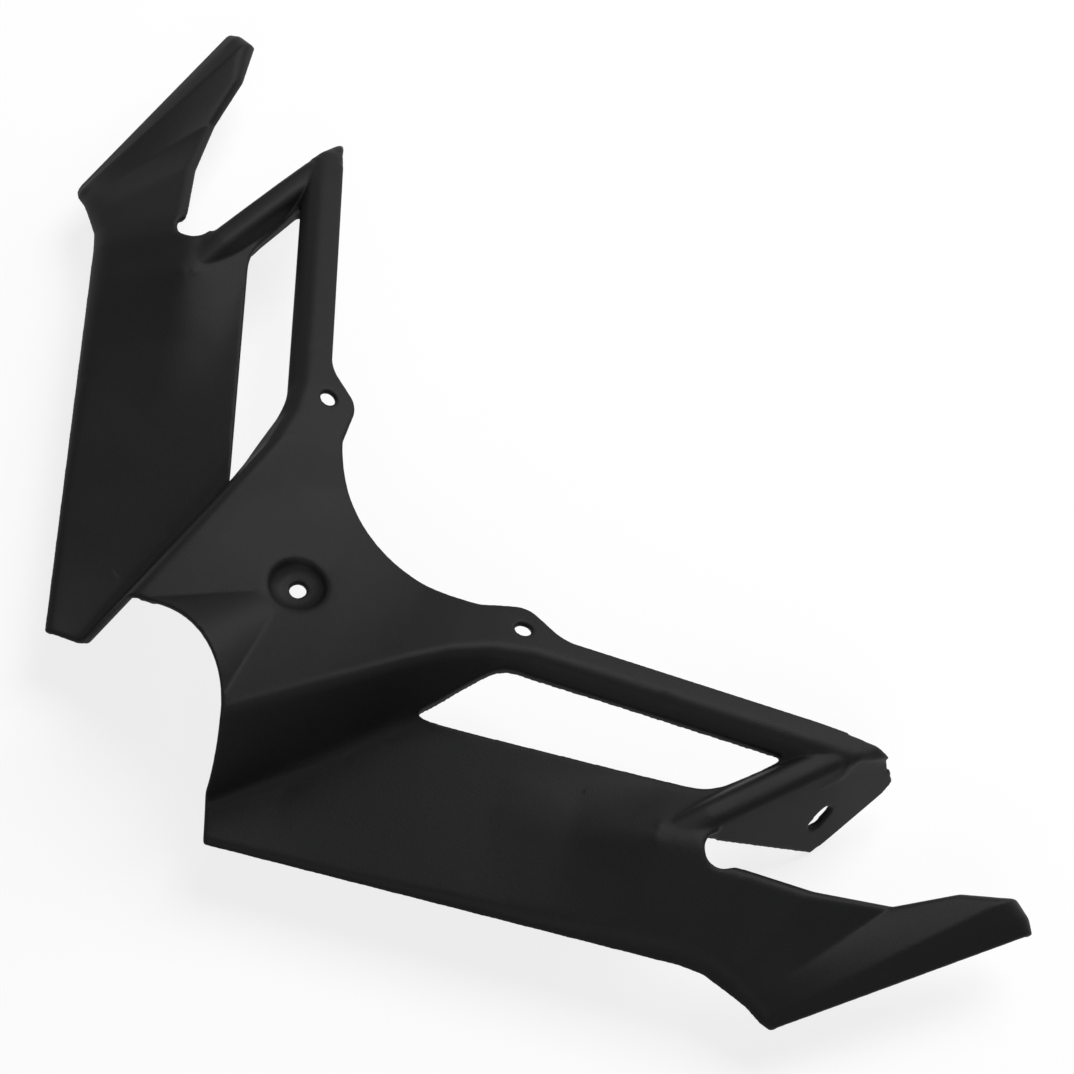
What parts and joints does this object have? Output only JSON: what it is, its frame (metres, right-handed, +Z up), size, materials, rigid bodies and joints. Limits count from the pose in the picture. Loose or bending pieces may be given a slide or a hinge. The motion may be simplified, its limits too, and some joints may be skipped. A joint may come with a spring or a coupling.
{
  "type": "motorcycle winglet",
  "caption": "Thin moulded front winglet with a centre panel, swept blades with tip fins, open windows and hanging side walls for bolting to a fairing.",
  "frame": {"origin": "middle of the centre hole on the floor of the round recess", "axes": "+X along the longest extent, towards the wing named right, +Y rearward, +Z up along the centre hole"},
  "size_m": [0.518, 0.2318, 0.0732],
  "materials": {
    "shell": "fine-grained matte black"
  },
  "bodies": {
    "root": {"winglet_shell": "shell"}
  },
  "joints": []
}
